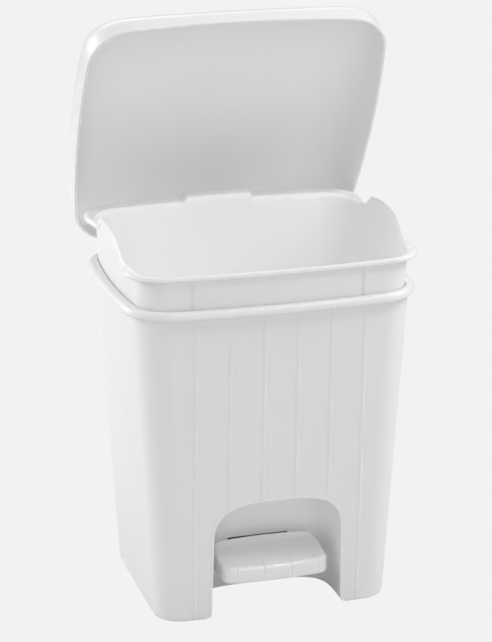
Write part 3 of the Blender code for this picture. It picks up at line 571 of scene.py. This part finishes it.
PEDAL_HALF, PEDAL_FRONT, PEDAL_BACK = 55.5, -102.0, -46.0
PEDAL_TOP, PEDAL_SKIRT, PEDAL_WALL, PEDAL_SLOPE = 51.0, 15.5, 2.5, 0.14
PEDAL_HEEL = 3.4
pedal_mid, pedal_depth = (PEDAL_FRONT + PEDAL_BACK) / 2, (PEDAL_BACK - PEDAL_FRONT) / 2
TREADS = (-42, -14, 14, 42)


def tread(x):
    """Depth of the grooves that run over the top and down the front."""
    return 0.75 * smooth((1.8 - min(abs(x - g) for g in TREADS)) / 1.5)


def crown(x):
    """The slight swell of each pad between two grooves."""
    far = abs(x)
    middle = 0 if far < 14 else 28 if far < 42 else 49
    return 0.45 * (1 - min(((far - middle) / 14) ** 2, 1.0))


def pedal_loop(inset, drop, sloped=1.0, grooved=0.0, shrink=1.0, faced=0.0):
    """A loop of the pedal; grooved shapes its top and faced its front by the treads."""
    section = (PEDAL_HALF - inset, pedal_depth - inset, 10 - inset, 1.5, 3.5)
    runs = sorted(set(steps(-45, 45, 30)) | {g + d for g in TREADS for d in
                                             (-2.0, -1.5, -1.0, -0.6, -0.3, 0, 0.3, 0.6, 1.0, 1.5, 2.0)})
    loop = []
    for x, y in outline(section, runs, steps(-12, 12, 8), runs, 12, 0.0):
        if faced and y < 0:
            y += faced * (tread(x) - 0.6 * crown(x))
        y = pedal_mid + y * shrink
        z = PEDAL_TOP - drop + sloped * PEDAL_SLOPE * (y - PEDAL_FRONT)
        z += PEDAL_HEEL * sloped * smooth((y + 57) / 8)  # the rear edge turns up
        if grooved:
            z += grooved * (crown(x) - 0.6 * tread(x)) * smooth((-78 - y) / 18)
        loop.append((x, y, z))
    return loop


def pedal_loops():
    loops = [pedal_loop(6, PEDAL_WALL, shrink=0.02), pedal_loop(6, PEDAL_WALL),
             pedal_loop(PEDAL_WALL + 2.6, PEDAL_WALL),
             pedal_loop(PEDAL_WALL + 0.6, PEDAL_WALL + 0.8), pedal_loop(PEDAL_WALL, PEDAL_WALL + 2.5),
             pedal_loop(PEDAL_WALL - 0.3, PEDAL_SKIRT - 0.4, 0), pedal_loop(PEDAL_WALL - 0.7, PEDAL_SKIRT, 0),
             pedal_loop(0.9, PEDAL_SKIRT, 0), pedal_loop(0.3, PEDAL_SKIRT - 0.3, 0),
             pedal_loop(0.0, PEDAL_SKIRT - 1.0, 0, faced=0.1), pedal_loop(0.0, 12.5, 0.1, faced=0.3),
             pedal_loop(0.0, 9, 0.3, faced=0.7), pedal_loop(0.05, 6, 0.8, faced=1.0)]
    for angle in (0, 12, 24, 36, 48, 60, 70, 80, 90):
        turn = math.radians(angle)
        loops.append(pedal_loop(0.2 + 3.4 * (1 - math.cos(turn)), 3.4 * (1 - math.sin(turn)), 1,
                                math.sin(turn), faced=math.cos(turn)))
    for shrink in (1.0, 0.93, 0.84, 0.74, 0.6, 0.45, 0.3, 0.15, 0.02):
        loops.append(pedal_loop(4.6, 0.0, 1, 1.0, shrink))
    return loops


pedal = capped("bin_pedal", pedal_loops(), "pedal", replaced=("pedal",), sharp=45)


# ---------------------------------------------------------------- materials


def nodes_of(name):
    """A new material with its node tree and shader."""
    material = bpy.data.materials.new(name)
    material.use_nodes = True
    tree = material.node_tree
    return material, tree, tree.nodes["Principled BSDF"]


def add(tree, kind, **values):
    """A new node with its settings and input values."""
    node = tree.nodes.new(kind)
    for key, value in values.items():
        if hasattr(node, key):
            setattr(node, key, value)
        else:
            node.inputs[key].default_value = value
    return node


MOTTLED = 0.012  # how far the flow marks shift the colour


def plastic(name, colour, roughness, grain=1.0, coat=0.0):
    """Moulded plastic: fine grain, faint flow marks in the colour and the gloss, a little handling wear."""
    material, tree, shader = nodes_of(name)
    link = tree.links.new
    place = add(tree, "ShaderNodeTexCoord").outputs["Object"]
    flow = add(tree, "ShaderNodeTexNoise", Scale=9.0, Detail=5.0, Roughness=0.55)
    fine = add(tree, "ShaderNodeTexNoise", Scale=900.0, Detail=3.0, Roughness=0.6)
    scuff = add(tree, "ShaderNodeTexNoise", Scale=55.0, Detail=8.0, Roughness=0.7)
    for texture in (flow, fine, scuff):
        link(place, texture.inputs["Vector"])
    tint = add(tree, "ShaderNodeMix", data_type="RGBA")
    tint.inputs["A"].default_value = (*[c * (1 - MOTTLED) for c in colour], 1)
    tint.inputs["B"].default_value = (*[min(c * (1 + MOTTLED), 1) for c in colour], 1)
    link(flow.outputs["Fac"], tint.inputs["Factor"])
    link(tint.outputs["Result"], shader.inputs["Base Color"])
    gloss = add(tree, "ShaderNodeMapRange")
    gloss.inputs["From Min"].default_value, gloss.inputs["From Max"].default_value = 0.3, 0.7
    gloss.inputs["To Min"].default_value = roughness * 0.85
    gloss.inputs["To Max"].default_value = roughness * 1.15
    link(scuff.outputs["Fac"], gloss.inputs["Value"])
    link(gloss.outputs["Result"], shader.inputs["Roughness"])
    bump = add(tree, "ShaderNodeBump", Strength=0.12 * grain, Distance=0.00015)
    link(fine.outputs["Fac"], bump.inputs["Height"])
    wave = add(tree, "ShaderNodeBump", Strength=0.10 * grain, Distance=0.0012)
    link(flow.outputs["Fac"], wave.inputs["Height"])
    link(bump.outputs["Normal"], wave.inputs["Normal"])
    link(wave.outputs["Normal"], shader.inputs["Normal"])
    shader.inputs["IOR"].default_value = 1.49
    shader.inputs["Coat Weight"].default_value = coat
    shader.inputs["Coat Roughness"].default_value = 0.12
    return material


def steel(name, colour, roughness):
    """Zinc-plated steel: fine streaks along the piece and cloudy patches."""
    material, tree, shader = nodes_of(name)
    link = tree.links.new
    place = add(tree, "ShaderNodeTexCoord").outputs["Object"]
    brushed = add(tree, "ShaderNodeMapping")
    brushed.inputs["Scale"].default_value = (1.0, 1.0, 0.03)
    link(place, brushed.inputs["Vector"])
    streak = add(tree, "ShaderNodeTexNoise", Scale=2200.0, Detail=4.0)
    patch = add(tree, "ShaderNodeTexNoise", Scale=120.0, Detail=6.0)
    link(brushed.outputs["Vector"], streak.inputs["Vector"])
    link(place, patch.inputs["Vector"])
    tint = add(tree, "ShaderNodeMix", data_type="RGBA")
    tint.inputs["A"].default_value = (*[c * 0.86 for c in colour], 1)
    tint.inputs["B"].default_value = (*colour, 1)
    link(patch.outputs["Fac"], tint.inputs["Factor"])
    link(tint.outputs["Result"], shader.inputs["Base Color"])
    gloss = add(tree, "ShaderNodeMapRange")
    gloss.inputs["To Min"].default_value = roughness * 0.8
    gloss.inputs["To Max"].default_value = roughness * 1.3
    link(streak.outputs["Fac"], gloss.inputs["Value"])
    link(gloss.outputs["Result"], shader.inputs["Roughness"])
    bump = add(tree, "ShaderNodeBump", Strength=0.15, Distance=0.0001)
    link(streak.outputs["Fac"], bump.inputs["Height"])
    link(bump.outputs["Normal"], shader.inputs["Normal"])
    shader.inputs["Metallic"].default_value = 1.0
    return material


def grey_white(value):
    return (value, value, value)


body_white = plastic("white_body", grey_white(0.76), 0.38)
# painted light: the niche's inner faces get this paler copy of the body white, so the pocket looks as if more
# light reached it
niche_painted_light = plastic("white_niche_painted_light", grey_white(0.985), 0.38)
lid_white = plastic("white_lid", grey_white(0.76), 0.34, grain=0.8)
# painted light: the lid's inner faces and gate nub get this paler copy of the lid white, standing in for
# light inside the open lid
lid_inside_painted_light = plastic("white_lid_inside_painted_light", grey_white(0.95), 0.5, grain=0.8)
liner_white = plastic("white_liner", grey_white(0.77), 0.42)
# painted light: the bucket's inner faces get this paler copy of the liner white, standing in for light
# filling the bucket
liner_inside_painted_light = plastic("white_liner_inside_painted_light", grey_white(0.96), 0.5)
pedal_white = plastic("white_pedal", (0.775, 0.773, 0.762), 0.2, grain=0.3, coat=0.9)
grey = plastic("grey_plastic", (0.55, 0.56, 0.57), 0.45)
zinc = steel("zinc_steel", (0.66, 0.67, 0.69), 0.3)

looks = {"bin_body": body_white, "bin_niche": body_white, "bin_bucket": liner_white, "bin_lid": lid_white,
         "bin_lid_gate": lid_inside_painted_light, "bin_pedal": pedal_white}
for name, obj in frame["nodes"].items():
    if "screw" in name or name in ("push_rod", "pedal_axle") or "pin_" in name or "axle_clip" in name:
        look = zinc
    elif name in ("rod_housing", "lid_striker") or "bracket" in name:
        look = body_white
    else:
        look = grey
    obj.data.materials.clear()
    obj.data.materials.append(look)

for obj in [o for o in scene.objects if "rides" in o]:
    look = looks.get(obj.name, lid_white)
    obj.data.materials.clear()
    obj.data.materials.append(look)
    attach(obj, obj["rides"])
    if obj["replaced"]:
        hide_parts(*obj["replaced"].split(","))
    for key in ("rides", "replaced", "slot"):
        del obj[key]


def paint_inside_lighter(obj, look, middle):
    """Gives the faces that look towards a point in the hollow a paler copy of the white: painted light that
    brightens the hollow's inner side.
    """
    obj.data.materials.append(look)
    for face in obj.data.polygons:
        if face.normal.dot(face.center - middle) < 0:
            face.material_index = 1


# painted light: the inner sides of the niche, bucket and lid are given paler copies of their whites
paint_inside_lighter(niche, niche_painted_light, Vector((0, SHIFT_Y - 72, 50)) * MM)
paint_inside_lighter(bucket, liner_inside_painted_light, Vector((0, SHIFT_Y, 300)) * MM)
hollow = opened @ Vector((0, lid_centre, LIP_Z - 4))
paint_inside_lighter(lid, lid_inside_painted_light, (hollow + Vector((0, SHIFT_Y, 0))) * MM)


# ---------------------------------------------------------------- studio

def table(name, height, colour, glow):
    """A wide flat sheet under the bin."""
    mesh = bpy.data.meshes.new(name)
    mesh.from_pydata([(-40, -40, height), (40, -40, height), (40, 40, height), (-40, 40, height)], [],
                     [(0, 1, 2, 3)])
    sheet = bpy.data.objects.new(name, mesh)
    scene.collection.objects.link(sheet)
    material, _, shader = nodes_of(name)
    shader.inputs["Base Color"].default_value = (colour, colour, colour, 1)
    shader.inputs["Roughness"].default_value = 1.0
    shader.inputs["Specular IOR Level"].default_value = 0.0
    shader.inputs["Emission Color"].default_value = (1, 1, 1, 1)
    shader.inputs["Emission Strength"].default_value = glow
    mesh.materials.append(material)
    return sheet


floor = table("floor", 0.0, 0.0, 0.888)  # what the camera sees: an evenly lit white table
floor.visible_diffuse = floor.visible_glossy = floor.visible_transmission = floor.visible_shadow = False
bounce = table("floor_bounce", -0.0005, 0.7, 0.0)  # what lights the bin from below
bounce.visible_camera = False

world = bpy.data.worlds.new("studio")
scene.world = world
world.use_nodes = True
world.node_tree.nodes["Background"].inputs["Color"].default_value = (1, 1, 1, 1)
world.node_tree.nodes["Background"].inputs["Strength"].default_value = 0.25


LIT_POINT = Vector((0, -0.03, 0.3))


def softbox(name, place, width, height, power):
    """A large soft light aimed at the middle of the bin."""
    data = bpy.data.lights.new(name, "AREA")
    data.shape, data.size, data.size_y, data.energy = "RECTANGLE", width, height, power
    lamp = bpy.data.objects.new(name, data)
    scene.collection.objects.link(lamp)
    lamp.location = place
    lamp.rotation_euler = (Vector(place) - LIT_POINT).to_track_quat("Z", "Y").to_euler()


for lamp_setting in (
    ("top_right", (1.8, -0.2, 1.9), 1.4, 1.4, 36.0),
    ("top_left", (-1.8, -0.2, 1.9), 1.4, 1.4, 13.5),
    ("top_back", (0, 1.8, 1.8), 2.0, 1.0, 14.0),
    ("top_front", (0, -1.6, 2.0), 1.6, 1.2, 1.0),
    ("left_back", (-2.0, 1.4, 0.9), 1.4, 1.4, 37.2),
    ("right", (2.4, -0.3, 0.8), 1.6, 1.4, 2.0),
    ("front", (-0.4, -2.6, 0.8), 1.6, 1.6, 10.5),
    ("front_high", (0, -2.4, 1.5), 2.0, 0.8, 9.0),
    ("spark", (0.62, -1.05, 2.0), 0.3, 0.3, 6.0),
):
    softbox(*lamp_setting)

camera_data = bpy.data.cameras.new("camera")
camera_data.lens, camera_data.sensor_width = 125.46, 36.0
camera = bpy.data.objects.new("camera", camera_data)
scene.collection.objects.link(camera)
azimuth, elevation, distance = math.radians(-16.47), math.radians(18.33), 2.2424  # metres
back = Vector((math.sin(azimuth) * math.cos(elevation), -math.cos(azimuth) * math.cos(elevation),
               math.sin(elevation)))
target = Vector((-0.003, SHIFT_Y * MM, 0.2744))
camera.location = target + back * distance
camera.rotation_euler = back.to_track_quat("Z", "Y").to_euler()
scene.camera = camera
scene.view_settings.view_transform = "Standard"
